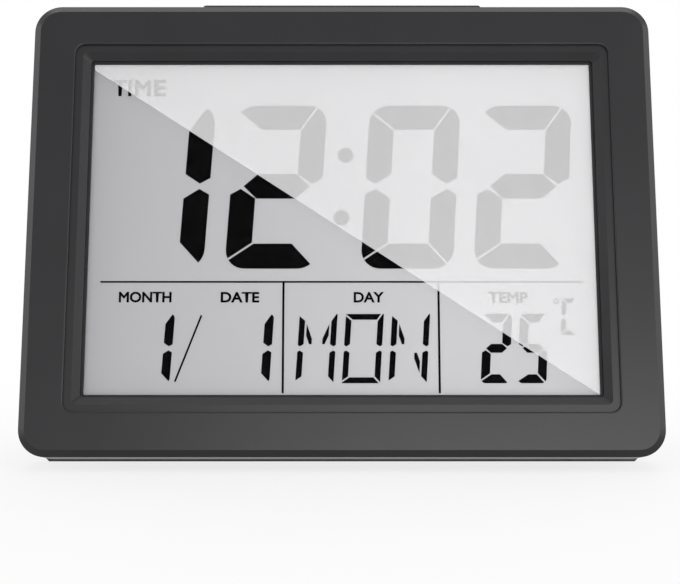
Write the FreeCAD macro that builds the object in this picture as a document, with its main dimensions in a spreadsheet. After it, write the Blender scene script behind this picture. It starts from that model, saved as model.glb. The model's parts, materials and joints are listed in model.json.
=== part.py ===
"""Dementia day clock: a desk clock with a large display in a dark stepped frame.

The clock leans back on a wedge of a rear case. Pieces of the front are drawn in the face's
own axes, x to the right, y into the clock and z up the face, and are then leaned back.
Pieces of the back are drawn upright. Sizes are in millimetres.
"""

import FreeCAD, Part
import math
import os
import Sketcher
from types import SimpleNamespace

os.makedirs("parts", exist_ok=True)

SIZES = {
    # Overall
    "face_width": 140.0,
    "face_height": 102.4,
    "corner_radius": 6.0,
    "lean_angle": 14.0,
    "overall_depth": 45.0,
    "floor_gap": 0.4,
    # Front frame
    "frame_depth": 12.0,
    "frame_wall": 2.0,
    "face_thickness": 2.6,
    "edge_bevel_width": 1.5,
    "edge_bevel_depth": 0.9,
    "window_width": 113.0,
    "window_height": 75.6,
    "window_bottom": 13.6,
    "opening_margin": 0.6,
    "bevel_margin": 2.3,
    "step_margin": 3.9,
    "step_depth": 0.7,
    "step_round": 0.35,
    "bevel_depth": 1.9,
    "step_corner": 2.2,
    # Display stack, in the order in which it lies behind the frame
    "tape_thickness": 0.2,
    "lens_thickness": 1.2,
    "lens_width": 119.0,
    "lens_bottom": 11.2,
    "lens_top": 91.6,
    "film_thickness": 0.2,
    "film_width": 116.4,
    "film_bottom": 12.9,
    "film_top": 90.2,
    "glass_thickness": 1.1,
    "glass_bottom": 9.6,
    "glass_top": 91.0,
    "ledge_height": 3.0,
    "guide_thickness": 2.5,
    "cradle_width": 123.0,
    "cradle_bottom": 5.4,
    "cradle_top": 92.2,
    "board_front": 11.2,
    "board_thickness": 1.6,
    "board_width": 122.0,
    "board_top": 96.4,
    # Bar in the top edge
    "bar_length": 64.0,
    "bar_width": 6.2,
    "bar_front": 2.9,
    "bar_proud": 1.6,
    "bar_travel": 0.8,
    "bar_gap": 0.15,
    # Rear case
    "case_inset": 3.5,
    "case_height": 96.4,
    "case_wall": 2.0,
    "case_edge_radius": 4.0,
    "nest_front": 9.6,
    "nest_gap": 0.1,
    # Battery bay and door
    "door_width": 60.0,
    "door_height": 30.0,
    "door_bottom": 9.0,
    "door_thickness": 1.8,
    "door_gap": 0.2,
    "bay_width": 50.8,
    "bay_bottom": 12.2,
    "bay_top": 35.8,
    "bay_depth": 12.2,
    "cell_radius": 5.25,
    "cell_length": 44.5,
    "cell_tip": 0.8,
    "contact_thickness": 0.4,
    "spring_wire": 0.5,
    # Buttons, alarm switch and key board
    "key_height": 74.0,
    "key_pitch": 18.0,
    "key_length": 9.0,
    "key_width": 5.0,
    "key_proud": 1.0,
    "key_gap": 0.15,
    "key_travel": 0.5,
    "plunger_width": 3.0,
    "plunger_gap": 0.05,
    "switch_travel": 4.0,
    "key_board_front": 12.9,
    "screw_radius": 1.1,
}

doc = FreeCAD.newDocument("DayClock")
sheet = doc.addObject("Spreadsheet::Sheet", "Sizes")
for row, (alias, number) in enumerate(SIZES.items(), 1):
    sheet.set(f"A{row}", alias)
    sheet.set(f"B{row}", str(number))
    sheet.setAlias(f"B{row}", alias)
doc.recompute()


class Dim:
    """A size, held both as a number and as the formula that binds it to the sheet."""

    def __init__(self, value, text):
        self.value = value
        self.text = text

    def joined(self, sign, value, other):
        return Dim(value, f"({self.text} {sign} {other.text})")

    def __add__(self, other):
        other = as_dim(other)
        return self.joined("+", self.value + other.value, other)

    def __sub__(self, other):
        other = as_dim(other)
        return self.joined("-", self.value - other.value, other)

    def __mul__(self, other):
        other = as_dim(other)
        return self.joined("*", self.value * other.value, other)

    def __truediv__(self, other):
        other = as_dim(other)
        return self.joined("/", self.value / other.value, other)

    def __radd__(self, other):
        return as_dim(other) + self

    def __rsub__(self, other):
        return as_dim(other) - self

    def __rmul__(self, other):
        return as_dim(other) * self

    def __neg__(self):
        return Dim(-self.value, f"(-{self.text})")


def as_dim(value):
    return value if isinstance(value, Dim) else Dim(float(value), f"({float(value)!r})")


def bind(item, path, size):
    item.setExpression(path, as_dim(size).text)


s = SimpleNamespace(**{alias: Dim(number, "Sizes." + alias) for alias, number in SIZES.items()})
V = FreeCAD.Vector
X_AXIS = V(1, 0, 0)
SIN = Dim(math.sin(math.radians(s.lean_angle.value)), "sin(Sizes.lean_angle * 1 deg)")
COS = Dim(math.cos(math.radians(s.lean_angle.value)), "cos(Sizes.lean_angle * 1 deg)")

# Places that several pieces share. The face's lower edge lies at FACE_Y, FACE_Z, and the
# whole clock is centred on the origin with its base at z = 0.
FACE_Y = -s.overall_depth / 2 - s.edge_bevel_width * SIN
FACE_Z = s.floor_gap + s.frame_depth * SIN
WALL_Y = s.overall_depth / 2 - s.key_proud
INNER_Y = WALL_Y - s.case_wall
WINDOW_TOP = s.window_bottom + s.window_height
LENS_FRONT = s.face_thickness + s.tape_thickness
FILM_FRONT = LENS_FRONT + s.lens_thickness
GLASS_FRONT = FILM_FRONT + s.film_thickness
REAR_GLASS_FRONT = GLASS_FRONT + s.glass_thickness
REAR_FILM_FRONT = REAR_GLASS_FRONT + s.glass_thickness
GUIDE_FRONT = REAR_FILM_FRONT + s.film_thickness
REFLECTOR_FRONT = GUIDE_FRONT + s.guide_thickness
CRADLE_FLOOR = REFLECTOR_FRONT + s.film_thickness
BOARD_BACK = s.board_front + s.board_thickness
BAY_FLOOR_Y = INNER_Y - s.bay_depth
CELL_Y = BAY_FLOOR_Y + s.cell_radius + 0.05
UPPER_CELL_Z = s.bay_top - s.cell_radius - 0.15
LOWER_CELL_Z = s.bay_bottom + s.cell_radius + 0.15
KEY_BOARD_BACK = s.key_board_front + s.board_thickness
KEY_SWITCH_BACK = KEY_BOARD_BACK + 2.5
FLANGE_FRONT = INNER_Y - 1.0

# Screw places in the face's axes
CASE_SCREWS = ((-60.0, 94.0), (60.0, 94.0))
BOARD_SCREWS = ((-20.0, 94.6), (20.0, 94.6))
BACKLIGHT_PLACES = (30.0, 72.0)

# Places on the upright back
BUTTONS = ("mode", "set", "up", "down", "unit")
FIRST_BUTTON = -1.5
KEY_SUPPORTS = (-54.0, 0.0, 54.0)
KEY_CLIPS = (-36.0, 36.0)
SOUND_Z = 57.0

ACROSS = {"XY": 1, "XZ": -1, "YZ": 1}
pieces = []
toward_normal = {}


def piece(name, leaning=False):
    """Starts a sub-part. A leaning one is drawn in the face's axes."""
    body = doc.addObject("PartDesign::Body", name)
    body.Label = name
    body.AllowCompound = True
    if leaning:
        lean = FreeCAD.Rotation(X_AXIS, -s.lean_angle.value)
        body.Placement = FreeCAD.Placement(V(0, FACE_Y.value, FACE_Z.value), lean)
        bind(body, "Placement.Base.y", FACE_Y)
        bind(body, "Placement.Base.z", FACE_Z)
        body.setExpression("Placement.Rotation.Angle", "-Sizes.lean_angle * 1 deg")
    pieces.append(body)
    return body


def sketch(body, name, plane, level=0.0):
    """A sketch parallel to one of the body's own origin planes, at a level along its axis."""
    drawn = body.newObject("Sketcher::SketchObject", name)
    role = plane + "_Plane"
    support = next(item for item in body.Origin.OriginFeatures if item.Role == role)
    drawn.AttachmentSupport = (support, [""])
    drawn.MapMode = "FlatFace"
    bind(drawn, "AttachmentOffset.Base.z", as_dim(level) * ACROSS[plane])
    toward_normal[drawn.Name] = ACROSS[plane]
    return drawn


def leaning_sketch(body, name, level):
    """A sketch in an upright body that lies parallel to the face, at a depth behind it."""
    drawn = sketch(body, name, "XZ")
    drawn.AttachmentOffset = FreeCAD.Placement(
        V(0, 0, 0), FreeCAD.Rotation(X_AXIS, -s.lean_angle.value)
    )
    bind(drawn, "AttachmentOffset.Base.y", FACE_Z - as_dim(level) * SIN)
    bind(drawn, "AttachmentOffset.Base.z", -(FACE_Y + as_dim(level) * COS))
    drawn.setExpression("AttachmentOffset.Rotation.Angle", "-Sizes.lean_angle * 1 deg")
    return drawn


def hold(drawn, kind, size, *where):
    """Adds a driving constraint and binds its size to the sheet."""
    size = as_dim(size)
    index = drawn.addConstraint(Sketcher.Constraint(kind, *where, size.value))
    bind(drawn, f"Constraints[{index}]", size)


def line(x0, y0, x1, y1):
    return Part.LineSegment(V(x0, y0, 0), V(x1, y1, 0))


def arc(x, y, radius, quarter, quarters=1):
    """An arc about x, y that starts at a multiple of a quarter turn."""
    circle = Part.Circle(V(x, y, 0), V(0, 0, 1), radius)
    start = quarter * math.pi / 2
    return Part.ArcOfCircle(circle, start, start + quarters * math.pi / 2)


def outline(drawn, points):
    """A closed outline with straight sides through points, each held in both directions."""
    points = [(as_dim(x), as_dim(y)) for x, y in points]
    first = drawn.GeometryCount
    count = len(points)
    drawn.addGeometry(
        [
            line(a[0].value, a[1].value, b[0].value, b[1].value)
            for a, b in zip(points, points[1:] + points[:1])
        ],
        False,
    )
    for i, (x, y) in enumerate(points):
        drawn.addConstraint(
            Sketcher.Constraint("Coincident", first + i, 2, first + (i + 1) % count, 1)
        )
        hold(drawn, "DistanceX", x, -1, 1, first + i, 1)
        hold(drawn, "DistanceY", y, -1, 1, first + i, 1)


def rectangle(drawn, left, right, bottom, top):
    outline(drawn, [(left, bottom), (right, bottom), (right, top), (left, top)])


def square(drawn, x, y, width):
    half = as_dim(width) / 2
    rectangle(drawn, x - half, x + half, y - half, y + half)


def rounded(drawn, left, right, bottom, top, radius):
    """A rectangle with round corners."""
    x0, x1, y0, y1, r = (as_dim(size).value for size in (left, right, bottom, top, radius))
    first = drawn.GeometryCount
    drawn.addGeometry(
        [
            line(x0 + r, y0, x1 - r, y0),
            arc(x1 - r, y0 + r, r, -1),
            line(x1, y0 + r, x1, y1 - r),
            arc(x1 - r, y1 - r, r, 0),
            line(x1 - r, y1, x0 + r, y1),
            arc(x0 + r, y1 - r, r, 1),
            line(x0, y1 - r, x0, y0 + r),
            arc(x0 + r, y0 + r, r, 2),
        ],
        False,
    )
    rules = [
        Sketcher.Constraint("Tangent", first + i, 2, first + (i + 1) % 8, 1) for i in range(8)
    ]
    rules += [Sketcher.Constraint("Horizontal", first + i) for i in (0, 4)]
    rules += [Sketcher.Constraint("Vertical", first + i) for i in (2, 6)]
    rules += [Sketcher.Constraint("Equal", first + 1, first + i) for i in (3, 5, 7)]
    drawn.addConstraint(rules)
    hold(drawn, "Radius", radius, first + 1)
    hold(drawn, "DistanceX", left, -1, 1, first + 6, 1)
    hold(drawn, "DistanceX", right, -1, 1, first + 2, 1)
    hold(drawn, "DistanceY", bottom, -1, 1, first, 1)
    hold(drawn, "DistanceY", top, -1, 1, first + 4, 1)


def stadium(drawn, x, y, length, width):
    """A slot with round ends, lying along the sketch's x axis."""
    x, y, length, width = (as_dim(size) for size in (x, y, length, width))
    radius = width / 2
    left = x - length / 2 + radius
    right = x + length / 2 - radius
    r = radius.value
    first = drawn.GeometryCount
    drawn.addGeometry(
        [
            line(left.value, y.value - r, right.value, y.value - r),
            arc(right.value, y.value, r, -1, 2),
            line(right.value, y.value + r, left.value, y.value + r),
            arc(left.value, y.value, r, 1, 2),
        ],
        False,
    )
    rules = [
        Sketcher.Constraint("Tangent", first + i, 2, first + (i + 1) % 4, 1) for i in range(4)
    ]
    rules += [
        Sketcher.Constraint("Equal", first + 1, first + 3),
        Sketcher.Constraint("Horizontal", first),
    ]
    drawn.addConstraint(rules)
    hold(drawn, "Radius", radius, first + 1)
    hold(drawn, "DistanceX", left, -1, 1, first + 3, 3)
    hold(drawn, "DistanceX", right, -1, 1, first + 1, 3)
    hold(drawn, "DistanceY", y, -1, 1, first + 3, 3)


def circle(drawn, x, y, radius):
    x, y, radius = (as_dim(size) for size in (x, y, radius))
    round_line = Part.Circle(V(x.value, y.value, 0), V(0, 0, 1), radius.value)
    index = drawn.addGeometry(round_line, False)
    hold(drawn, "Radius", radius, index)
    hold(drawn, "DistanceX", x, -1, 1, index, 3)
    hold(drawn, "DistanceY", y, -1, 1, index, 3)


def pad(drawn, length, toward=1, middle=False):
    """Adds material from a sketch, toward +1 or -1 along the axis it faces."""
    body = drawn.getParentGeoFeatureGroup()
    feature = body.newObject("PartDesign::Pad", drawn.Name + "_pad")
    feature.Profile = drawn
    feature.SideType = "Symmetric" if middle else "One side"
    feature.Reversed = toward != toward_normal[drawn.Name]
    bind(feature, "Length", length)
    doc.recompute()
    return feature


def pocket(drawn, length, toward=1, middle=False):
    """Cuts material away from a sketch, toward +1 or -1 along the axis it faces."""
    body = drawn.getParentGeoFeatureGroup()
    before = body.Shape.Volume
    feature = body.newObject("PartDesign::Pocket", drawn.Name + "_cut")
    feature.Profile = drawn
    feature.SideType = "Symmetric" if middle else "One side"
    feature.Reversed = toward == toward_normal[drawn.Name]
    bind(feature, "Length", length)
    doc.recompute()
    if not body.Shape.Volume < before - 1e-4:
        raise RuntimeError(f"{body.Label}: {feature.Name} cuts nothing")
    return feature


def edge_names(feature, wanted):
    return [
        f"Edge{number}"
        for number, edge in enumerate(feature.Shape.Edges, 1)
        if wanted(edge.CenterOfMass, edge)
    ]


def near(value, size, by=0.01):
    return abs(value - as_dim(size).value) < by


def runs_along(edge, axis):
    box = edge.BoundBox
    spans = {"x": box.XLength, "y": box.YLength, "z": box.ZLength}
    return all(spans[other] < 0.01 for other in spans if other != axis)


def fillet(feature, edges, radius):
    body = feature.getParentGeoFeatureGroup()
    rounding = body.newObject("PartDesign::Fillet", feature.Name + "_round")
    rounding.Base = (feature, edges)
    bind(rounding, "Radius", radius)
    doc.recompute()
    return rounding


def chamfer(feature, edges, size):
    body = feature.getParentGeoFeatureGroup()
    bevel = body.newObject("PartDesign::Chamfer", feature.Name + "_bevel")
    bevel.Base = (feature, edges)
    bind(bevel, "Size", size)
    doc.recompute()
    return bevel


def slab(name, leaning, plane, level, thickness, draw, *sizes):
    """A flat piece: one drawn outline made solid over its thickness."""
    body = piece(name, leaning)
    drawn = sketch(body, name + "_outline", plane, level)
    draw(drawn, *sizes)
    pad(drawn, thickness)
    return body


def margin_outline(drawn, margin, radius):
    """The window's outline, grown by a margin on every side."""
    half = s.window_width / 2 + margin
    rounded(drawn, -half, half, s.window_bottom - margin, WINDOW_TOP + margin, radius)


def make_front_frame():
    """One moulding: bevelled rim, stepped and bevelled window, walls, bosses and bar slot."""
    body = piece("front_frame", leaning=True)
    half = s.face_width / 2
    drawn = sketch(body, "frame_outline", "XZ")
    rounded(drawn, -half, half, 0.0, s.face_height, s.corner_radius)
    block = pad(drawn, s.frame_depth)

    rim = body.newObject("PartDesign::Chamfer", "frame_bevel")
    rim.Base = (block, edge_names(block, lambda centre, edge: near(centre.y, 0.0)))
    rim.ChamferType = "Two distances"
    bind(rim, "Size", s.edge_bevel_depth)
    bind(rim, "Size2", s.edge_bevel_width)
    doc.recompute()
    front = max(rim.Shape.Faces, key=lambda face: face.Area if near(face.CenterOfMass.y, 0.0) else 0.0)
    if not near(front.BoundBox.XLength, s.face_width - 2 * s.edge_bevel_width):
        rim.FlipDirection = True
        doc.recompute()

    inner = half - s.frame_wall
    drawn = sketch(body, "frame_hollow", "XZ", s.frame_depth)
    top = s.face_height - s.frame_wall
    rounded(drawn, -inner, inner, s.frame_wall, top, s.corner_radius - s.frame_wall)
    pocket(drawn, s.frame_depth - s.face_thickness, toward=-1)

    drawn = sketch(body, "window_step", "XZ")
    margin_outline(drawn, s.step_margin, s.step_corner)
    step = pocket(drawn, s.step_depth)
    reach = s.window_width.value / 2 + s.step_margin.value
    brow = edge_names(
        step,
        lambda centre, edge: near(centre.y, 0.0) and abs(centre.x) < reach + 0.1
        and abs(centre.z - s.face_height.value / 2) < s.window_height.value / 2 + 5.0,
    )
    fillet(step, brow, s.step_round)
    outer = sketch(body, "bevel_front", "XZ", s.step_depth)
    margin_outline(outer, s.bevel_margin, 1.2)
    deep = sketch(body, "bevel_back", "XZ", s.bevel_depth)
    margin_outline(deep, s.opening_margin, 0.8)
    before = body.Shape.Volume
    bevel = body.newObject("PartDesign::SubtractiveLoft", "window_bevel")
    bevel.Profile = outer
    bevel.Sections = [deep]
    bevel.Ruled = True
    doc.recompute()
    if not body.Shape.Volume < before - 1.0:
        raise RuntimeError("the window's bevel cuts nothing")
    drawn = sketch(body, "window_opening", "XZ", s.bevel_depth - 0.2)
    margin_outline(drawn, s.opening_margin, 0.8)
    pocket(drawn, s.face_thickness - s.bevel_depth + 0.4)

    drawn = sketch(body, "bar_slot", "XY", s.face_height + 1.0)
    rounded(
        drawn,
        -s.bar_length / 2 - s.bar_gap,
        s.bar_length / 2 + s.bar_gap,
        s.bar_front - s.bar_gap,
        s.bar_front + s.bar_width + s.bar_gap,
        0.3,
    )
    pocket(drawn, s.frame_wall + 1.2, toward=-1)

    posts = (
        ("case_bosses", CASE_SCREWS, 2.7, s.frame_depth, 1.15),
        ("board_bosses", BOARD_SCREWS, 2.3, s.board_front, 0.95),
    )
    for name, places, radius, end, bore in posts:
        drawn = sketch(body, name, "XZ", s.face_thickness)
        for x, z in places:
            circle(drawn, x, z, radius)
        pad(drawn, end - s.face_thickness)
        drawn = sketch(body, name + "_bore", "XZ", end)
        for x, z in places:
            circle(drawn, x, z, bore)
        pocket(drawn, (end - s.face_thickness) * 0.8, toward=-1)

    ribs = sketch(body, "catch_ribs", "XZ", 6.1)
    rests = sketch(body, "cradle_rests", "XZ", GLASS_FRONT)
    for x in (-45.0, 35.0):
        rectangle(ribs, x, x + 10.0, s.frame_wall - 0.5, s.frame_wall + 0.8)
        rectangle(rests, x * 0.5, x * 0.5 + 5.0, s.frame_wall - 0.5, s.cradle_bottom)
    pad(ribs, 1.0)
    pad(rests, 5.0)


def make_display():
    """Window pane with its adhesive ring, the two glasses, films, light guide and cradle."""
    half_lens = s.lens_width / 2
    half_film = s.film_width / 2
    ring = piece("lens_tape", leaning=True)
    drawn = sketch(ring, "tape_ring", "XZ", s.face_thickness)
    rectangle(drawn, -half_lens, half_lens, s.lens_bottom, s.lens_top - 0.6)
    half_window = s.window_width / 2
    rectangle(drawn, -half_window, half_window, s.window_bottom, WINDOW_TOP)
    pad(drawn, s.tape_thickness)

    slab("display_lens", True, "XZ", LENS_FRONT, s.lens_thickness,
         rounded, -half_lens, half_lens, s.lens_bottom, s.lens_top, 1.5)
    film = (rectangle, -half_film, half_film, s.film_bottom, s.film_top)
    slab("lcd_front_film", True, "XZ", FILM_FRONT, s.film_thickness, *film)
    slab("lcd_front_glass", True, "XZ", GLASS_FRONT, s.glass_thickness,
         rectangle, -half_lens, half_lens, s.glass_bottom, s.glass_top)
    slab("lcd_rear_glass", True, "XZ", REAR_GLASS_FRONT, s.glass_thickness,
         rectangle, -half_lens, half_lens, s.glass_bottom + s.ledge_height, s.glass_top)
    slab("lcd_rear_film", True, "XZ", REAR_FILM_FRONT, s.film_thickness, *film)
    slab("light_guide", True, "XZ", GUIDE_FRONT, s.guide_thickness,
         rectangle, -half_lens + 0.2, half_lens - 3.9, s.film_bottom, s.glass_top - 0.2)
    slab("reflector_sheet", True, "XZ", REFLECTOR_FRONT, s.film_thickness,
         rectangle, -half_lens + 0.2, half_lens - 3.9, s.film_bottom, s.glass_top - 0.2)
    slab("contact_strip", True, "XZ", REAR_GLASS_FRONT, s.board_front - REAR_GLASS_FRONT,
         rectangle, -50.0, 50.0, s.glass_bottom + 0.3, s.glass_bottom + s.ledge_height - 0.5)

    lamps = piece("backlight_leds", leaning=True)
    drawn = sketch(lamps, "led_outlines", "XZ", GUIDE_FRONT + 0.2)
    for z in BACKLIGHT_PLACES:
        rectangle(drawn, half_lens - 3.6, half_lens - 1.2, z - 1.9, z + 1.9)
    pad(drawn, s.board_front - GUIDE_FRONT - 0.2)


def make_cradle():
    """White moulding that holds the display stack and carries the board."""
    body = piece("lcd_cradle", leaning=True)
    half = s.cradle_width / 2
    drawn = sketch(body, "cradle_outline", "XZ", GLASS_FRONT)
    rounded(drawn, -half, half, s.cradle_bottom, s.cradle_top, 1.0)
    pad(drawn, s.board_front - GLASS_FRONT)
    inside = s.lens_width / 2 + 0.2
    drawn = sketch(body, "cradle_pocket", "XZ", GLASS_FRONT)
    rectangle(drawn, -inside, inside, s.glass_bottom - 0.2, s.glass_top + 0.2)
    pocket(drawn, CRADLE_FLOOR - GLASS_FRONT)
    drawn = sketch(body, "cradle_windows", "XZ", CRADLE_FLOOR - 0.5)
    rounded(drawn, -50.0, -2.0, 24.0, 78.0, 3.0)
    rounded(drawn, 2.0, 50.0, 24.0, 78.0, 3.0)
    rectangle(drawn, -51.0, 51.0, s.glass_bottom, s.glass_bottom + s.ledge_height - 0.2)
    for z in BACKLIGHT_PLACES:
        rectangle(drawn, inside - 4.0, inside - 1.2, z - 2.1, z + 2.1)
    pocket(drawn, s.board_front - CRADLE_FLOOR + 1.0)
    drawn = sketch(body, "corner_reliefs", "XZ", GLASS_FRONT)
    for x, z in CASE_SCREWS:
        circle(drawn, x, z, 3.2)
    pocket(drawn, s.board_front - GLASS_FRONT)
    for number, x in enumerate((-55.0, 49.0)):
        drawn = sketch(body, f"board_hook{number}", "YZ", x)
        low = s.cradle_bottom
        outline(
            drawn,
            [
                (s.board_front - 0.5, low),
                (BOARD_BACK + 1.0, low),
                (BOARD_BACK + 1.0, low + 1.9),
                (BOARD_BACK + 0.1, low + 1.9),
                (BOARD_BACK + 0.1, low + 1.1),
                (s.board_front - 0.5, low + 1.1),
            ],
        )
        pad(drawn, 6.0)


def make_board():
    """Main board with the parts that stand on its back."""
    body = piece("main_board", leaning=True)
    half = s.board_width / 2
    drawn = sketch(body, "board_outline", "XZ", s.board_front)
    rectangle(drawn, -half, half, s.cradle_bottom + 1.2, s.board_top)
    pad(drawn, s.board_thickness)
    drawn = sketch(body, "board_corners", "XZ", s.board_front)
    for x, z in CASE_SCREWS:
        circle(drawn, x, z, 4.4)
    pocket(drawn, s.board_thickness)
    drawn = sketch(body, "board_holes", "XZ", s.board_front)
    for x, z in BOARD_SCREWS:
        circle(drawn, x, z, 1.2)
    pocket(drawn, s.board_thickness)

    chip = piece("controller_chip", leaning=True)
    drawn = sketch(chip, "chip_outline", "XZ", BOARD_BACK)
    circle(drawn, -15.0, 55.0, 5.5)
    pad(drawn, 1.4)

    crystal = piece("quartz_crystal", leaning=True)
    drawn = sketch(crystal, "crystal_end", "YZ", 8.0)
    circle(drawn, BOARD_BACK + 1.55, 62.0, 1.55)
    pad(drawn, 8.0)

    capacitor = piece("capacitor", leaning=True)
    drawn = sketch(capacitor, "capacitor_outline", "XZ", BOARD_BACK)
    circle(drawn, 38.0, 58.0, 2.5)
    pad(drawn, 5.0)

    sensor = piece("temperature_sensor", leaning=True)
    drawn = sketch(sensor, "sensor_outline", "XZ", BOARD_BACK)
    circle(drawn, -52.0, 30.0, 1.3)
    pad(drawn, 3.2)


def make_screws(name, places, tip, under_head, head_radius, shank_radius, head):
    """A group of screws whose shanks run from the tip to the underside of the head."""
    body = piece(name, leaning=True)
    shanks = sketch(body, name + "_shanks", "XZ", tip)
    heads = sketch(body, name + "_heads", "XZ", under_head)
    for x, z in places:
        circle(shanks, x, z, shank_radius)
        circle(heads, x, z, head_radius)
    pad(shanks, as_dim(under_head) - tip)
    pad(heads, head)


def make_snooze():
    """Long bar in the top edge, with its switch on the board below it."""
    body = piece("snooze_bar", leaning=True)
    half = s.bar_length / 2
    foot = s.face_height - s.frame_wall - 1.0
    shoulder = s.face_height - s.frame_wall - 0.1
    top = s.face_height + s.bar_proud
    drawn = sketch(body, "bar_outline", "XZ", s.bar_front)
    outline(
        drawn,
        [
            (-half - 2.0, foot),
            (half + 2.0, foot),
            (half + 2.0, shoulder),
            (half, shoulder),
            (half, top),
            (-half, top),
            (-half, shoulder),
            (-half - 2.0, shoulder),
        ],
    )
    block = pad(drawn, s.bar_width)
    top_edges = edge_names(block, lambda centre, edge: near(centre.z, top))
    fillet(block, top_edges, 1.1)
    drawn = sketch(body, "bar_hollows", "XY", foot)
    back = s.bar_front + s.bar_width
    rectangle(drawn, -half + 2.0, -6.0, s.bar_front + 1.2, back - 1.2)
    rectangle(drawn, 6.0, half - 2.0, s.bar_front + 1.2, back - 1.2)
    pocket(drawn, 2.8, toward=1)

    middle = s.bar_front + s.bar_width / 2
    switch_top = s.board_top
    switch = piece("snooze_switch", leaning=True)
    drawn = sketch(switch, "snooze_switch_outline", "XY", switch_top - 3.6)
    rectangle(drawn, -3.1, 3.1, middle - 2.6, s.board_front)
    pad(drawn, 3.6)
    drawn = sketch(switch, "snooze_switch_bore", "XY", switch_top)
    square(drawn, 0.0, middle, s.plunger_width + s.plunger_gap * 2)
    pocket(drawn, 2.4, toward=-1)
    plunger = piece("snooze_plunger", leaning=True)
    drawn = sketch(plunger, "snooze_plunger_outline", "XY", switch_top - 1.4)
    square(drawn, 0.0, middle, s.plunger_width)
    pad(drawn, foot - switch_top + 1.4)


def leaning_y(level, z):
    """Where the plane at a depth behind the face stands at a height z of the upright frame."""
    return FACE_Y + (as_dim(level) + (as_dim(z) - FACE_Z) * SIN) / COS


def button_x(number):
    return (number + FIRST_BUTTON) * s.key_pitch


def make_rear_case():
    """Wedge-shaped moulding: nests in the frame, stands on the table, holds the batteries."""
    body = piece("rear_case")
    half = s.face_width / 2 - s.case_inset
    top = s.case_height
    drawn = sketch(body, "wedge_side", "YZ")
    outline(
        drawn,
        [
            (leaning_y(s.frame_depth, 0.0), 0.0),
            (WALL_Y, 0.0),
            (WALL_Y, top),
            (leaning_y(s.frame_depth, top), top),
        ],
    )
    wedge = pad(drawn, half * 2, middle=True)
    rounded_edges = edge_names(
        wedge,
        lambda centre, edge: (near(centre.y, WALL_Y) and not near(centre.z, 0.0))
        or (near(centre.z, top) and runs_along(edge, "y")),
    )
    wedge = fillet(wedge, rounded_edges, s.case_edge_radius)
    lower = edge_names(
        wedge, lambda centre, edge: near(centre.z, 0.0) and near(centre.y, WALL_Y, 2.0)
    )
    chamfer(wedge, lower, 1.0)

    frame_half = s.face_width / 2 - s.frame_wall - s.nest_gap
    frame_low = s.frame_wall + s.nest_gap
    frame_top = s.face_height - s.frame_wall - s.nest_gap
    drawn = leaning_sketch(body, "nest_rim", s.nest_front)
    rounded(drawn, -frame_half, frame_half, frame_low, frame_top, 3.9)
    pad(drawn, s.frame_depth - s.nest_front)

    closing = s.frame_depth + s.case_wall
    drawn = sketch(body, "wedge_hollow", "YZ")
    ceiling = top - s.case_wall
    outline(
        drawn,
        [
            (leaning_y(closing, s.case_wall), s.case_wall),
            (INNER_Y, s.case_wall),
            (INNER_Y, ceiling),
            (leaning_y(closing, ceiling), ceiling),
        ],
    )
    pocket(drawn, (half - s.case_wall) * 2, middle=True)
    drawn = leaning_sketch(body, "nest_opening", s.nest_front)
    rounded(drawn, -frame_half + 3.5, frame_half - 3.5, 5.0, 96.9, 2.0)
    pocket(drawn, closing - s.nest_front + 0.2)

    drawn = leaning_sketch(body, "hook_arms", 4.9)
    nibs = leaning_sketch(body, "hook_nibs", 4.9)
    for x in (-44.0, 36.0):
        rectangle(drawn, x, x + 8.0, frame_low + 0.8, frame_low + 2.0)
        rectangle(nibs, x, x + 8.0, frame_low, frame_low + 1.0)
    pad(drawn, s.nest_front - 4.9)
    pad(nibs, 1.0)

    well_end = (WALL_Y - s.case_wall / 2 - FACE_Y - CASE_SCREWS[0][1] * SIN) / COS
    tubes = leaning_sketch(body, "screw_tubes", s.frame_depth)
    seats = leaning_sketch(body, "screw_wells", closing)
    holes = leaning_sketch(body, "screw_holes", s.frame_depth)
    for x, z in CASE_SCREWS:
        circle(tubes, x, z, 3.6)
        circle(seats, x, z, 2.7)
        circle(holes, x, z, 1.4)
    pad(tubes, well_end - s.frame_depth)
    pocket(seats, 12.0)
    pocket(holes, s.case_wall + 0.1)

    make_battery_bay(body)
    make_key_openings(body)


def make_battery_bay(body):
    """Seat for the door, bay for the two cells and slots for the door's tabs."""
    door_half = s.door_width / 2
    door_top = s.door_bottom + s.door_height
    bay_half = s.bay_width / 2
    drawn = sketch(body, "door_seat", "XZ", INNER_Y - 2.0)
    rectangle(drawn, -door_half - 2.5, door_half + 2.5, s.door_bottom - 4.5, door_top + 2.5)
    pad(drawn, 2.0)
    drawn = sketch(body, "bay_walls", "XZ", BAY_FLOOR_Y - 2.0)
    rectangle(drawn, -bay_half - 2.0, bay_half + 2.0, s.bay_bottom - 2.0, s.bay_top + 2.0)
    pad(drawn, s.bay_depth + 2.0)
    drawn = sketch(body, "door_recess", "XZ", WALL_Y)
    gap = s.door_gap
    rounded(
        drawn, -door_half - gap, door_half + gap, s.door_bottom - gap, door_top + gap, 1.0
    )
    pocket(drawn, s.case_wall, toward=-1)
    drawn = sketch(body, "bay_hollow", "XZ", INNER_Y)
    rectangle(drawn, -bay_half, bay_half, s.bay_bottom, s.bay_top)
    pocket(drawn, s.bay_depth, toward=-1)
    drawn = sketch(body, "bay_rib", "XZ", BAY_FLOOR_Y)
    middle = (s.bay_bottom + s.bay_top) / 2
    rectangle(drawn, -18.0, 18.0, middle - 0.6, middle + 0.6)
    pad(drawn, 3.0)
    drawn = sketch(body, "tab_slots", "XZ", INNER_Y)
    for x in (-22.3, 13.7):
        rectangle(drawn, x, x + 8.6, s.door_bottom - 3.4, s.bay_bottom + 0.1)
    pocket(drawn, 3.2, toward=-1)
    drawn = sketch(body, "thumb_scoop", "XZ", WALL_Y)
    circle(drawn, 0.0, door_top + gap, 6.0)
    pocket(drawn, 1.2, toward=-1)


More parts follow.
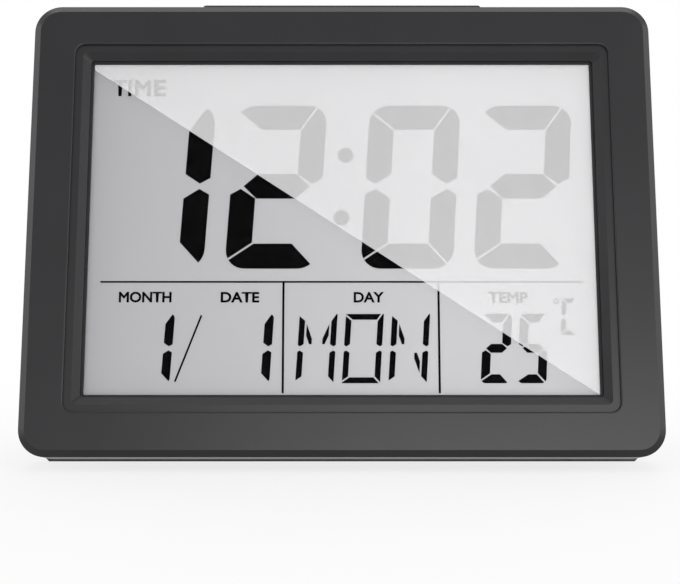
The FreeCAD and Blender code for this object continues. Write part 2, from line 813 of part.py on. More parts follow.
def make_key_openings(body):
    """Openings for the buttons, alarm switch and sound, with the posts behind them."""
    drawn = sketch(body, "key_openings", "XZ", WALL_Y)
    for number in range(len(BUTTONS)):
        stadium(
            drawn,
            button_x(number),
            s.key_height,
            s.key_length + 2 * s.key_gap,
            s.key_width + 2 * s.key_gap,
        )
    left = -s.key_pitch * 2.5 - s.switch_travel / 2 - 2.3
    right = -s.key_pitch * 2.5 + s.switch_travel / 2 + 2.3
    rectangle(drawn, left, right, s.key_height - 1.65, s.key_height + 1.65)
    for number in range(4):
        low = SOUND_Z - 4.2 + number * 2.4
        rectangle(drawn, -5.0, 5.0, low, low + 1.2)
    pocket(drawn, s.case_wall, toward=-1)
    drawn = sketch(body, "key_supports", "XZ", KEY_BOARD_BACK)
    for x in KEY_SUPPORTS:
        rectangle(drawn, x - 1.2, x + 1.2, s.key_height - 4.0, s.key_height + 4.0)
    pad(drawn, INNER_Y - KEY_BOARD_BACK)
    drawn = sketch(body, "sounder_rests", "XZ", INNER_Y - 1.7)
    for x in (-8.0, 6.5):
        rectangle(drawn, x, x + 1.5, SOUND_Z - 2.5, SOUND_Z + 2.5)
    pad(drawn, 1.7)
    for number, x in enumerate(KEY_CLIPS):
        for name, side in (("upper", 1), ("lower", -1)):
            drawn = sketch(body, f"{name}_clip{number}", "YZ", x - 1.5)
            edge = s.key_height + 5.6 * side
            outline(
                drawn,
                [
                    (INNER_Y, edge),
                    (s.key_board_front - 0.1, edge),
                    (s.key_board_front - 0.1, edge - 0.8 * side),
                    (s.key_board_front - 0.9, edge - 0.8 * side),
                    (s.key_board_front - 0.9, edge + 1.2 * side),
                    (INNER_Y, edge + 1.2 * side),
                ],
            )
            pad(drawn, 3.0)


def make_door():
    """Battery door with two hooked tabs below and a finger latch above."""
    body = piece("battery_door")
    half = s.door_width / 2
    top = s.door_bottom + s.door_height
    inner = INNER_Y + 0.1
    outer = inner + s.door_thickness
    drawn = sketch(body, "door_outline", "XZ", inner)
    rounded(drawn, -half, half, s.door_bottom, top, 0.8)
    pad(drawn, s.door_thickness)
    for number, x in enumerate((-22.0, 14.0)):
        drawn = sketch(body, f"door_tab{number}", "YZ", x)
        outline(
            drawn,
            [
                (inner - 1.7, s.door_bottom - 2.4),
                (inner - 0.5, s.door_bottom - 2.4),
                (inner - 0.5, s.door_bottom + 0.2),
                (inner, s.door_bottom + 0.2),
                (inner, s.door_bottom + 3.0),
                (inner - 1.7, s.door_bottom + 3.0),
            ],
        )
        pad(drawn, 8.0)
    drawn = sketch(body, "latch_slots", "XZ", inner)
    rectangle(drawn, -6.0, -5.0, top - 6.0, top + 0.5)
    rectangle(drawn, 5.0, 6.0, top - 6.0, top + 0.5)
    pocket(drawn, s.door_thickness)
    drawn = sketch(body, "grip_grooves", "XZ", outer)
    for number in range(3):
        low = top - 5.2 + number * 1.6
        rectangle(drawn, -4.2, 4.2, low, low + 0.8)
    pocket(drawn, 0.5, toward=-1)


def make_cells():
    """Two AAA cells, end for end, with the contact plates at both ends of the bay."""
    half = s.bay_width / 2
    plate_x = half - s.contact_thickness
    body_length = s.cell_length - s.cell_tip
    for name, z, side in (("battery_upper", UPPER_CELL_Z, 1), ("battery_lower", LOWER_CELL_Z, -1)):
        cell = piece(name)
        tip_end = plate_x * side
        shoulder = (plate_x - s.cell_tip) * side
        drawn = sketch(cell, name + "_can", "YZ", shoulder)
        circle(drawn, CELL_Y, z, s.cell_radius)
        can = pad(drawn, body_length, toward=-side)
        ends = edge_names(can, lambda centre, edge: not runs_along(edge, "x"))
        chamfer(can, ends, 0.4)
        drawn = sketch(cell, name + "_tip", "YZ", tip_end)
        circle(drawn, CELL_Y, z, 1.9)
        pad(drawn, s.cell_tip, toward=-side)
    reach = 4.4
    plates = (
        ("contact_bridge", plate_x, LOWER_CELL_Z - reach, UPPER_CELL_Z + reach),
        ("contact_negative", -half, UPPER_CELL_Z - reach, UPPER_CELL_Z + reach),
        ("contact_positive", -half, LOWER_CELL_Z - reach, LOWER_CELL_Z + reach),
    )
    for name, x, low, high in plates:
        slab(name, False, "YZ", x, s.contact_thickness,
             rectangle, CELL_Y - reach, CELL_Y + reach, low, high)


def biarc(start, start_way, end, end_way):
    """Two arcs that leave start and reach end in the given directions."""
    chord = end - start
    opening = 2 * (1 - start_way.dot(end_way))
    along = chord.dot(start_way + end_way)
    square = chord.dot(chord)
    reach = square / (along + math.sqrt(along * along + opening * square))
    knee_a = start + start_way * reach
    knee_b = end - end_way * reach
    joint = (knee_a + knee_b) / 2
    return [tangent_arc(start, start_way, joint), tangent_arc(joint, joint - knee_a, end)]


def tangent_arc(start, way, end):
    """The arc that leaves start along way and ends at end."""
    way = V(way).normalize()
    chord = end - start
    side = chord - way * chord.dot(way)
    radius = chord.dot(chord) / (2 * side.Length)
    centre = start + V(side).normalize() * radius
    to_middle = (start + end) / 2 - centre
    return Part.Arc(start, centre + V(to_middle).normalize() * radius, end)


def spring_points(turns, length, wide, narrow, steps):
    """Points and directions of a tapering helix along +x, at even steps of a turn."""
    found = []
    count = turns * steps
    rate = 2 * math.pi * turns
    for i in range(count + 1):
        share = i / count
        turn = rate * share
        radius = wide + (narrow - wide) * share
        place = V(length * share, radius * math.cos(turn), radius * math.sin(turn))
        outward = V(0, math.cos(turn), math.sin(turn))
        around = V(0, -math.sin(turn), math.cos(turn))
        way = V(length, 0, 0) + outward * (narrow - wide) + around * radius * rate
        found.append((place, way.normalize()))
    return found


def make_springs():
    """Tapering contact springs that press on the cells' flat ends, in six-sided wire."""
    wire = s.spring_wire.value
    turns = 3
    wide = 3.4
    narrow = 2.3
    plate_x = (s.bay_width / 2 - s.contact_thickness).value
    flat_end = (s.cell_length - s.bay_width / 2 + s.contact_thickness).value
    length = plate_x - flat_end - wire
    points = spring_points(turns, length, wide, narrow, 2)
    arcs = []
    for (start, start_way), (end, end_way) in zip(points, points[1:]):
        arcs += [part.toShape() for part in biarc(start, start_way, end, end_way)]
    path = Part.Wire(arcs)
    start, way = points[0]
    across = way.cross(X_AXIS).normalize()
    along = way.cross(across)
    corners = [
        start + (across * math.cos(turn) + along * math.sin(turn)) * wire / 2
        for turn in (math.radians(60 * number) for number in range(6))
    ]
    tube = path.makePipeShell([Part.makePolygon(corners + corners[:1])], True, False)
    samples = [place for place, _ in spring_points(turns, length, wide, narrow, 36)]
    gap = min((a - b).Length - wire for i, a in enumerate(samples) for b in samples[i + 18 :])
    print(f"spring: {turns} turns, least gap to itself {gap:.2f} mm")
    places = (
        ("spring_upper", -plate_x + wire / 2, UPPER_CELL_Z, 0.0),
        ("spring_lower", plate_x - wire / 2, LOWER_CELL_Z, 180.0),
    )
    for name, x, z, turn in places:
        spring = doc.addObject("Part::Feature", name)
        spring.Label = name
        spring.Shape = tube
        spring.Placement = FreeCAD.Placement(
            V(x, CELL_Y.value, z.value), FreeCAD.Rotation(V(0, 0, 1), turn)
        )
        pieces.append(spring)


def make_keys():
    """Five push buttons in the back, each with the plunger of its switch, and their board."""
    board = piece("key_board")
    drawn = sketch(board, "key_board_outline", "XZ", s.key_board_front)
    rectangle(drawn, -57.0, 57.0, s.key_height - 5.5, s.key_height + 5.5)
    pad(drawn, s.board_thickness)

    switches = piece("key_switches")
    drawn = sketch(switches, "key_switch_outlines", "XZ", KEY_BOARD_BACK)
    for number in range(len(BUTTONS)):
        x = button_x(number)
        rectangle(drawn, x - 3.0, x + 3.0, s.key_height - 3.0, s.key_height + 3.0)
    pad(drawn, 2.5)
    drawn = sketch(switches, "key_switch_bores", "XZ", KEY_SWITCH_BACK)
    for number in range(len(BUTTONS)):
        square(drawn, button_x(number), s.key_height, s.plunger_width + s.plunger_gap * 2)
    pocket(drawn, 2.1, toward=-1)

    for number, name in enumerate(BUTTONS):
        x = button_x(number)
        button = piece(f"{name}_button")
        drawn = sketch(button, f"{name}_flange", "XZ", FLANGE_FRONT)
        half = s.key_length / 2 + 1.0
        reach = s.key_width / 2 + 1.0
        rectangle(drawn, x - half, x + half, s.key_height - reach, s.key_height + reach)
        pad(drawn, 0.9)
        drawn = sketch(button, f"{name}_cap", "XZ", FLANGE_FRONT)
        stadium(drawn, x, s.key_height, s.key_length, s.key_width)
        end = WALL_Y + s.key_proud
        cap = pad(drawn, end - FLANGE_FRONT)
        rim = edge_names(cap, lambda centre, edge, end=end: near(centre.y, end))
        chamfer(cap, rim, 0.4)
        plunger = piece(f"{name}_plunger")
        drawn = sketch(plunger, f"{name}_plunger_outline", "XZ", KEY_SWITCH_BACK - 1.5)
        square(drawn, x, s.key_height, s.plunger_width)
        pad(drawn, FLANGE_FRONT - KEY_SWITCH_BACK + 1.5)


def make_alarm_switch():
    """Slide switch for the alarm, with its knob in a slot of the back."""
    middle = -s.key_pitch * 2.5
    rest = middle - s.switch_travel / 2
    z = s.key_height
    body = piece("alarm_switch")
    drawn = sketch(body, "alarm_switch_outline", "XZ", KEY_BOARD_BACK)
    rectangle(drawn, middle - 5.0, middle + 5.0, z - 2.5, z + 2.5)
    pad(drawn, 3.0)
    drawn = sketch(body, "alarm_switch_groove", "XZ", KEY_BOARD_BACK + 3.0)
    rectangle(drawn, middle - 3.3, middle + 3.3, z - 0.85, z + 0.85)
    pocket(drawn, 1.2, toward=-1)

    knob = piece("alarm_slider")
    drawn = sketch(knob, "slider_flange", "XZ", FLANGE_FRONT)
    rectangle(drawn, rest - 4.0, rest + 4.0, z - 2.7, z + 2.7)
    pad(drawn, 0.9)
    drawn = sketch(knob, "slider_knob", "XZ", FLANGE_FRONT)
    rectangle(drawn, rest - 2.0, rest + 2.0, z - 1.45, z + 1.45)
    end = WALL_Y + s.key_proud
    block = pad(drawn, end - FLANGE_FRONT)
    rim = edge_names(block, lambda centre, edge: near(centre.y, end))
    chamfer(block, rim, 0.3)
    drawn = sketch(knob, "slider_grooves", "XZ", end)
    for x in (-0.9, 0.3):
        rectangle(drawn, rest + x, rest + x + 0.6, z - 1.6, z + 1.6)
    pocket(drawn, 0.3, toward=-1)

    lever = piece("alarm_lever")
    drawn = sketch(lever, "lever_outline", "XZ", KEY_BOARD_BACK + 1.9)
    rectangle(drawn, rest - 1.0, rest + 1.0, z - 0.75, z + 0.75)
    pad(drawn, FLANGE_FRONT - KEY_BOARD_BACK - 1.9)


def make_buzzer():
    """Piezo sounder behind the sound holes."""
    disc_front = INNER_Y - 2.0
    slab("buzzer_disc", False, "XZ", disc_front, 0.3, circle, 0.0, SOUND_Z, 8.5)
    slab("buzzer_crystal", False, "XZ", disc_front - 0.3, 0.3, circle, 0.0, SOUND_Z, 5.5)


make_front_frame()
make_display()
make_cradle()
make_board()
make_snooze()
make_rear_case()
make_door()
make_cells()
make_springs()
make_keys()
make_alarm_switch()
make_buzzer()
closing_seat = s.frame_depth + s.case_wall
make_screws("case_screws", CASE_SCREWS, 5.5, closing_seat, 2.4, s.screw_radius, 1.6)
make_screws("board_screws", BOARD_SCREWS, 6.6, BOARD_BACK, 1.9, 0.9, 1.2)

doc.recompute()
for item in doc.Objects:
    if "Invalid" in item.State or "Error" in item.State:
        raise RuntimeError(f"{item.Label} failed: {item.State}")
for item in pieces:
    if item.Shape.isNull() or not item.Shape.isValid():
        raise RuntimeError(f"{item.Label} has no valid shape")
for item in pieces:
    item.Shape.exportStep(f"parts/{item.Label}.step")
whole = Part.makeCompound([item.Shape for item in pieces]).BoundBox
print(f"{len(pieces)} pieces, x {whole.XMin:.2f} {whole.XMax:.2f}, "
      f"y {whole.YMin:.2f} {whole.YMax:.2f}, z {whole.ZMin:.2f} {whole.ZMax:.2f}")
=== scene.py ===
"""Looks of the dementia day clock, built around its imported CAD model, in metres."""

import json
import math

import bmesh
import bpy
from mathutils import Matrix, Vector


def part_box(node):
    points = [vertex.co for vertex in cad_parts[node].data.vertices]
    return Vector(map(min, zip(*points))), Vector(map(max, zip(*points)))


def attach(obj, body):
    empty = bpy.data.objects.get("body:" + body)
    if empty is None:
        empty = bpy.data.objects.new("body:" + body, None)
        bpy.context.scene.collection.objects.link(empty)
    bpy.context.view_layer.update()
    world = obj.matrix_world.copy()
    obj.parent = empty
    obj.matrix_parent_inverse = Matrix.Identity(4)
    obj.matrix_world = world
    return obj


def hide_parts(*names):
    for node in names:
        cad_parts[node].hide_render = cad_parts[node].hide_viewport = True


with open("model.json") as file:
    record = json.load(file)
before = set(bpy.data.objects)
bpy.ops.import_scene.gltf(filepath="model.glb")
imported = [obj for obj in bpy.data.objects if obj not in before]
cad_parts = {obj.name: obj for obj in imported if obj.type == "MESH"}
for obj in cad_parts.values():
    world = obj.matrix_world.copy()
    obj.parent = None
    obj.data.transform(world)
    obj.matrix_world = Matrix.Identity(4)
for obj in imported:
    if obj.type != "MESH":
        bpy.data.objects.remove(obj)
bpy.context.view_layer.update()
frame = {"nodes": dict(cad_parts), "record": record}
nodes = frame["nodes"]
MM = 0.001

# The face's own axes: x to the right, y into the clock, z up the face from its lower edge.
LEAN = math.radians(14.0)
EDGE_BEVEL = 1.5
FACE_FOOT = 3.3031
frame_low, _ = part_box("front_frame")
FACE = (
    Matrix.Translation((0, frame_low.y - EDGE_BEVEL * MM * math.sin(LEAN), FACE_FOOT * MM))
    @ Matrix.Rotation(-LEAN, 4, "X")
    @ Matrix.Scale(MM, 4)
)

# The window, the pane behind it and the sheet of painted glare on the pane, in millimetres:
# half the width, and the lower and upper edges. The foam ring ends a little below the pane's
# upper edge.
WINDOW = (56.5, 13.6, 89.2)
PANE = (59.5, 11.2, 91.6)
FOAM_HIGH = 91.0
GLARE_OUTLINE = (56.4, 13.65, 89.15)

# Depths behind the face, in millimetres. The pane stops short of the display, because two
# surfaces in one plane would leave dark specks in the render.
PANE_FRONT = 2.8
PANE_BACK = 3.88
INK_FRONT = 3.93
INK_BACK = 4.05
# The sheet of painted glare lies just in front of the pane
GLARE_FRONT = 2.72
GLARE_BACK = 2.77
TAPE_FRONT = 2.6
TAPE_BACK = 2.79

# Points on a full turn of a disc or a spring, and the angle past which an edge stays sharp
STEPS_PER_TURN = 32
SHARP_ANGLE = math.radians(30.0)

# Copper tracks on the board, drawn a few times coarser than the real ones so that they show
TRACK_SPACING = 4.0

# Painted shade on the display's ground: it is darkest up to the first place along x, and
# palest from the second
GROUND_SHADED_X = -58.0
GROUND_LIT_X = 20.0

# The share of the light that the pane throws back, seen straight on and along its surface
HEAD_ON_SHEEN = 0.0005
GRAZING_SHEEN = 0.3

# Near the clock the floor is lifted to white only by a share, so that its shadow stays. The
# lift grows to the full one between two distances from the clock's middle, in millimetres.
SHADOW_SHARE = 0.78
SHADOW_NEAR = 50.0
SHADOW_FAR = 170.0


# Materials


def colour(code):
    """A colour for a shader's socket, from its sRGB hex code."""
    channels = [int(code[i : i + 2], 16) / 255 for i in (1, 3, 5)]
    linear = [c / 12.92 if c <= 0.04045 else ((c + 0.055) / 1.055) ** 2.4 for c in channels]
    return (*linear, 1.0)


def add(tree, kind, links=(), **settings):
    """Adds a node. Settings name its properties, or its sockets by their identifier."""
    node = tree.nodes.new(kind)
    for name, value in settings.items():
        if hasattr(node, name):
            setattr(node, name, value)
        else:
            socket = next(s for s in node.inputs if s.identifier.replace(" ", "_") == name)
            socket.default_value = value
    for source, target in links:
        tree.links.new(source, node.inputs[target])
    return node


def finish(name, base, roughness, **sockets):
    """A material with its shader; sockets are the shader's own, with _ for a space."""
    material = bpy.data.materials.new(name)
    material.use_nodes = True
    tree = material.node_tree
    shader = tree.nodes["Principled BSDF"]
    shader.inputs["Base Color"].default_value = colour(base)
    shader.inputs["Roughness"].default_value = roughness
    for socket, value in sockets.items():
        shader.inputs[socket.replace("_", " ")].default_value = value
    return material, tree, shader


def vary(tree, shader, base, other, size):
    """Lets the base colour drift between two tones in patches of a size in millimetres."""
    where = add(tree, "ShaderNodeTexCoord").outputs["Object"]
    noise = add(
        tree, "ShaderNodeTexNoise", [(where, "Vector")], Scale=1 / (size * MM), Detail=3.0
    )
    ramp = add(tree, "ShaderNodeValToRGB", [(noise.outputs["Fac"], "Fac")])
    ramp.color_ramp.elements[0].position = 0.35
    ramp.color_ramp.elements[1].position = 0.65
    ramp.color_ramp.elements[0].color = colour(base)
    ramp.color_ramp.elements[1].color = colour(other)
    tree.links.new(ramp.outputs["Color"], shader.inputs["Base Color"])


def grain(tree, shader, size, depth, roughness):
    """Fine texture: bumps of a size and depth in millimetres, and a range of roughness."""
    where = add(tree, "ShaderNodeTexCoord").outputs["Object"]
    noise = add(
        tree,
        "ShaderNodeTexNoise",
        [(where, "Vector")],
        Scale=1 / (size * MM),
        Detail=2.0,
        Roughness=0.6,
    )
    bump = add(
        tree,
        "ShaderNodeBump",
        [(noise.outputs["Fac"], "Height")],
        Strength=0.6,
        Distance=depth * MM,
    )
    tree.links.new(bump.outputs["Normal"], shader.inputs["Normal"])
    spread = add(
        tree,
        "ShaderNodeMapRange",
        [(noise.outputs["Fac"], "Value")],
        To_Min=roughness[0],
        To_Max=roughness[1],
    )
    tree.links.new(spread.outputs["Result"], shader.inputs["Roughness"])


def moulded_frame():
    # ABS, moulded in a spark-eroded tool and left satin: a soft grey sheen, with no mirror
    # reflections, and a grain so fine that it only breaks up the highlights.
    material, tree, shader = finish(
        "satin_abs_dark_grey", "#232325", 0.32, Specular_IOR_Level=0.24
    )
    vary(tree, shader, "#222224", "#252527", 16.0)
    grain(tree, shader, 0.35, 0.003, (0.28, 0.36))
    return material


def moulded_bar():
    # The bar is of the same ABS, but matt, so that a finger doesn't slip on it
    material, tree, shader = finish(
        "matt_abs_dark_grey", "#232325", 0.6, Specular_IOR_Level=0.12
    )
    vary(tree, shader, "#222224", "#252527", 16.0)
    grain(tree, shader, 0.35, 0.006, (0.54, 0.66))
    return material


def moulded_case():
    # The same ABS in a coarser texture, which hides scratches on the back
    material, tree, shader = finish("textured_abs_dark_grey", "#303032", 0.62)
    vary(tree, shader, "#2d2d2f", "#343436", 22.0)
    grain(tree, shader, 0.5, 0.02, (0.56, 0.7))
    return material


def moulded_key():
    # ABS keys, moulded nearly black and smooth, so that they show against the case
    material, tree, shader = finish("smooth_abs_black", "#1b1b1d", 0.36)
    vary(tree, shader, "#19191b", "#1f1f21", 6.5)
    grain(tree, shader, 0.25, 0.003, (0.32, 0.42))
    return material


def plain_plastic(name, base, other, roughness):
    # Moulded or rolled, with tones that drift over 8 mm as the melt flowed, and the fine
    # texture of 0.4 mm that the mould or the rollers leave
    material, tree, shader = finish(name, base, roughness)
    vary(tree, shader, base, other, 8.0)
    grain(tree, shader, 0.4, 0.005, (roughness - 0.06, roughness + 0.06))
    return material


def circuit_board():
    # Glass epoxy under green solder mask: the copper below shows as paler tracks
    material, tree, shader = finish("fibreglass_board_green", "#1d5a34", 0.38)
    where = add(tree, "ShaderNodeTexCoord").outputs["Object"]
    tracks = add(
        tree,
        "ShaderNodeTexVoronoi",
        [(where, "Vector")],
        distance="MANHATTAN",
        feature="DISTANCE_TO_EDGE",
        Scale=1 / (TRACK_SPACING * MM),
    )
    ramp = add(tree, "ShaderNodeValToRGB", [(tracks.outputs["Distance"], "Fac")])
    ramp.color_ramp.interpolation = "CONSTANT"
    ramp.color_ramp.elements[0].color = colour("#2f7d4a")
    ramp.color_ramp.elements[1].position = 0.12
    ramp.color_ramp.elements[1].color = colour("#1b5531")
    tree.links.new(ramp.outputs["Color"], shader.inputs["Base Color"])
    return material


def metal(name, base, other, roughness):
    # Plated or rolled, with tones that drift over 2.5 mm, and marks of 0.12 mm from the rollers
    # or the tumbling, which blur the highlights
    material, tree, shader = finish(name, base, roughness, Metallic=1.0)
    vary(tree, shader, base, other, 2.5)
    grain(tree, shader, 0.12, 0.002, (roughness - 0.08, roughness + 0.1))
    return material


def pane():
    # Clear acrylic over the display: it only adds a faint sheen to what lies behind it, which
    # grows with the fifth power towards grazing angles
    material = bpy.data.materials.new("clear_acrylic")
    material.use_nodes = True
    tree = material.node_tree
    tree.nodes.clear()
    clear = add(tree, "ShaderNodeBsdfTransparent", Color=colour("#fdfdfd"))
    gloss = add(tree, "ShaderNodeBsdfGlossy", Color=colour("#ffffff"), Roughness=0.12)
    tilt = add(tree, "ShaderNodeLayerWeight", Blend=0.5)
    edge = add(tree, "ShaderNodeMath", [(tilt.outputs["Facing"], 0)], operation="POWER")
    edge.inputs[1].default_value = 5.0
    sheen = add(
        tree,
        "ShaderNodeMapRange",
        [(edge.outputs["Value"], "Value")],
        To_Min=HEAD_ON_SHEEN,
        To_Max=GRAZING_SHEEN,
    )
    mix = add(
        tree,
        "ShaderNodeMixShader",
        [(sheen.outputs["Result"], 0), (clear.outputs["BSDF"], 1), (gloss.outputs["BSDF"], 2)],
    )
    add(tree, "ShaderNodeOutputMaterial", [(mix.outputs["Shader"], "Surface")])
    return material


def display_ground():
    # Polariser over a reflective liquid-crystal cell: even, matt and neutral grey, with painted
    # shade that makes it a little darker towards its left-hand edge
    material, tree, shader = finish("polariser_film_grey", "#c4c4c5", 0.45)
    where = add(tree, "ShaderNodeTexCoord").outputs["Object"]
    spot = add(tree, "ShaderNodeSeparateXYZ", [(where, "Vector")])
    along = add(
        tree,
        "ShaderNodeMapRange",
        [(spot.outputs["X"], "Value")],
        From_Min=GROUND_SHADED_X * MM,
        From_Max=GROUND_LIT_X * MM,
    )
    # Painted shade: the ground darkens towards the left
    ramp = add(tree, "ShaderNodeValToRGB", [(along.outputs["Result"], "Fac")])
    ramp.color_ramp.elements[0].color = colour("#b3b2b5")
    ramp.color_ramp.elements[1].color = colour("#c9c8cb")
    tree.links.new(ramp.outputs["Color"], shader.inputs["Base Color"])
    return material


def display_ink():
    # A driven liquid-crystal segment: both polarisers crossed, so nearly black and matt
    material, tree, shader = finish(
        "liquid_crystal_segment", "#0c0c0d", 0.6, Specular_IOR_Level=0.0
    )
    vary(tree, shader, "#0a0a0b", "#0e0e0f", 3.3)
    return material


def stamped_ink():
    # Hot-stamping foil on the raised words: pale grey, matt, and a little worn
    material, tree, shader = finish("stamping_foil_grey", "#a9abad", 0.55)
    vary(tree, shader, "#9c9ea0", "#b2b4b6", 2.0)
    return material


def glare_paint():
    # Painted reflection: a whitish, partly see-through veil that stands in for glare on the
    # window, and veils what lies under it
    material, tree, shader = finish("milky_polyethylene_film", "#f9f9fa", 0.5, Alpha=0.34)
    vary(tree, shader, "#f8f8f9", "#fbfbfc", 40.0)
    return material


def background_rays(tree):
    """1 for what the camera sees directly, in gloss or through glass, and 0 for other light."""
    rays = add(tree, "ShaderNodeLightPath")
    direct = rays.outputs["Is Camera Ray"]
    for name in ("Is Glossy Ray", "Is Transmission Ray"):
        direct = add(
            tree, "ShaderNodeMath", [(direct, 0), (rays.outputs[name], 1)], operation="MAXIMUM"
        ).outputs["Value"]
    return direct


def floor_paint():
    # Matt grey paper sweep: seen directly it is lifted towards white, fully away from the clock
    # and less near it, so that the shadow stays
    material, tree, shader = finish("matt_paper", "#dedede", 0.9)
    vary(tree, shader, "#dcdcdc", "#e0e0e0", 125.0)
    seen = background_rays(tree)
    where = add(tree, "ShaderNodeTexCoord").outputs["Object"]
    away = add(tree, "ShaderNodeVectorMath", [(where, "Vector")], operation="LENGTH")
    share = add(
        tree,
        "ShaderNodeMapRange",
        [(away.outputs["Value"], "Value")],
        From_Min=SHADOW_NEAR * MM,
        From_Max=SHADOW_FAR * MM,
        To_Min=SHADOW_SHARE,
        To_Max=1.0,
    )
    lifted = add(
        tree,
        "ShaderNodeMath",
        [(seen, 0), (share.outputs["Result"], 1)],
        operation="MULTIPLY",
    )
    glow = add(tree, "ShaderNodeEmission", Color=colour("#ffffff"), Strength=1.0)
    mix = add(
        tree,
        "ShaderNodeMixShader",
        [
            (lifted.outputs["Value"], 0),
            (shader.outputs["BSDF"], 1),
            (glow.outputs["Emission"], 2),
        ],
    )
    output = next(n for n in tree.nodes if n.type == "OUTPUT_MATERIAL")
    tree.links.new(mix.outputs["Shader"], output.inputs["Surface"])
    return material


finishes = {
    "frame_plastic": moulded_frame(),
    "case_plastic": moulded_case(),
    "key_plastic": moulded_key(),
    "clear_acrylic": pane(),
    # Closed-cell foam with adhesive on both sides, cut black so that it hides the glass edge
    "adhesive_foam": plain_plastic("closed_cell_foam_black", "#1c1c1e", "#232325", 0.85),
    "polariser_film": display_ground(),
    # Soda-lime glass, cut and left with bare edges, which are all that shows: pale green-grey
    "display_glass": plain_plastic("soda_lime_glass_edge", "#b9c7c2", "#c3cfca", 0.1),
    # Acrylic, frosted in its mould so that it glows evenly: milky and softly bright
    "frosted_acrylic": plain_plastic("frosted_acrylic", "#e4e7e8", "#eceeef", 0.4),
    # Polyester, filled with white and rolled: an even, soft white
    "white_sheet": plain_plastic("white_polyester_sheet", "#ebebea", "#f1f1f0", 0.5),
    # Acetal for the cradle: milky white, slightly waxy
    "white_plastic": plain_plastic("acetal_white", "#e6e5e0", "#edece8", 0.42),
    # Resin with phosphor, cast over the lamps: yellow while unlit, and a little glossy
    "led_resin": plain_plastic("phosphor_resin_yellow", "#e9d86c", "#efe08a", 0.3),
    # Silicone filled with carbon, moulded: dull dark grey
    "silicone_rubber": plain_plastic("carbon_silicone_rubber", "#5b5b60", "#6a6a70", 0.7),
    "circuit_board": circuit_board(),
    # Epoxy, moulded over the chips: black and dull, from the filler in it
    "black_epoxy": plain_plastic("moulded_epoxy_black", "#1b1b1d", "#232326", 0.6),
    # Nickel plate over spring steel, drawn and then tumbled bright
    "plated_steel": metal("nickel_plated_steel", "#c4c0b8", "#d1cdc6", 0.28),
    # PVC sleeve, shrunk on with heat: dark blue, with a soft gloss
    "capacitor_sleeve": plain_plastic("shrink_sleeve_blue", "#23324e", "#2a3b5b", 0.3),
    # Zinc-plated steel: greyer than nickel, with the plating's faint bloom
    "screw_steel": metal("zinc_plated_steel", "#a9aaac", "#b8b9bb", 0.34),
    # Nylon, moulded: black, with a faint satin sheen
    "switch_plastic": plain_plastic("nylon_black", "#202022", "#29292b", 0.5),
    # Acetal again, dyed grey: smooth and slightly waxy
    "plunger_plastic": plain_plastic("acetal_grey", "#8d8f91", "#97999b", 0.45),
    # PVC film, printed in one colour and shrunk round the cells: blue-grey and glossy
    "cell_jacket": plain_plastic("printed_pvc_sleeve", "#30465c", "#364e66", 0.32),
    # Brass, rolled and dulled by the air: brownish gold, with broad, soft highlights
    "sounder_brass": metal("rolled_brass", "#8a7143", "#957b4c", 0.42),
    # Ceramic, fired and coated with a film of silver: pale warm grey
    "sounder_ceramic": plain_plastic("fired_ceramic_silvered", "#c9c7c1", "#d4d2cd", 0.38),
}
bar_finish = moulded_bar()
for subpart in frame["record"]["subparts"]:
    for place in nodes[subpart["node"]].material_slots:
        place.material = finishes[subpart["material_slot"]]
for place in nodes["snooze_bar"].material_slots:
    place.material = bar_finish


# Pieces


def piece(name, bm, slot, material=None, turn=FACE, body="clock_body", instead_of=()):
    """Makes a body's new piece from a closed mesh in the face's millimetres."""
    bmesh.ops.remove_doubles(bm, verts=bm.verts, dist=0.0005)
    bmesh.ops.recalc_face_normals(bm, faces=bm.faces)
    bm.transform(turn)
    mesh = bpy.data.meshes.new(name)
    bm.to_mesh(mesh)
    bm.free()
    mesh.materials.append(material or finishes[slot])
    made = bpy.data.objects.new(name, mesh)
    bpy.context.scene.collection.objects.link(made)
    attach(made, body)
    if instead_of:
        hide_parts(*instead_of)
    return made


def raise_plate(bm, faces, front, back):
    """Turns flat faces drawn in x and z into plates from depth front to depth back."""
    for face in faces:
        for vert in face.verts:
            vert.co.y = back
    grown = bmesh.ops.extrude_face_region(bm, geom=faces, use_keep_orig=True)
    for item in grown["geom"]:
        if isinstance(item, bmesh.types.BMVert):
            item.co.y = front


def oblong(bm, low_x, high_x, low_z, high_z, corner=0.0, steps=6):
    """A flat rectangle, with its corners rounded."""
    corners = ((low_x, low_z), (high_x, low_z), (high_x, high_z), (low_x, high_z))
    made = [bm.verts.new((x, 0, z)) for x, z in corners]
    bm.faces.new(made)
    if corner:
        bmesh.ops.bevel(
            bm,
            geom=made,
            offset=corner,
            segments=steps,
            profile=0.5,
            affect="VERTICES",
            material=-1,
        )


def trim(bm, x, z, angle):
    """Cuts away what lies beyond the line through x, z whose outward side faces angle."""
    turn = math.radians(angle)
    bmesh.ops.bisect_plane(
        bm,
        geom=bm.verts[:] + bm.edges[:] + bm.faces[:],
        dist=0.0001,
        plane_co=(x, 0, z),
        plane_no=(math.cos(turn), 0, math.sin(turn)),
        clear_outer=True,
    )


# The display's characters. Each style gives half the width, the height, the stroke, the outer
# corner, the gap between segments and half the gap at the waist, in millimetres.
SLANT = 0.0615
STYLES = {
    "time": (10.32, 37.9, 5.7, 4.4, 0.45, 0.62),
    "date": (3.17, 15.45, 1.95, 1.1, 0.36, 0.45),
    "day": (4.2, 15.4, 1.28, 0.0, 0.36, 0.46),
    "unit": (1.65, 8.2, 1.0, 0.5, 0.3, 0.32),
}
LIT = {
    "0": "abcdef",
    "1": "bc",
    "2": "abged",
    "5": "afgcd",
    "C": "afed",
    "M": "bcefhj",
    "N": "bcefhm",
    "O": "abcdef",
}


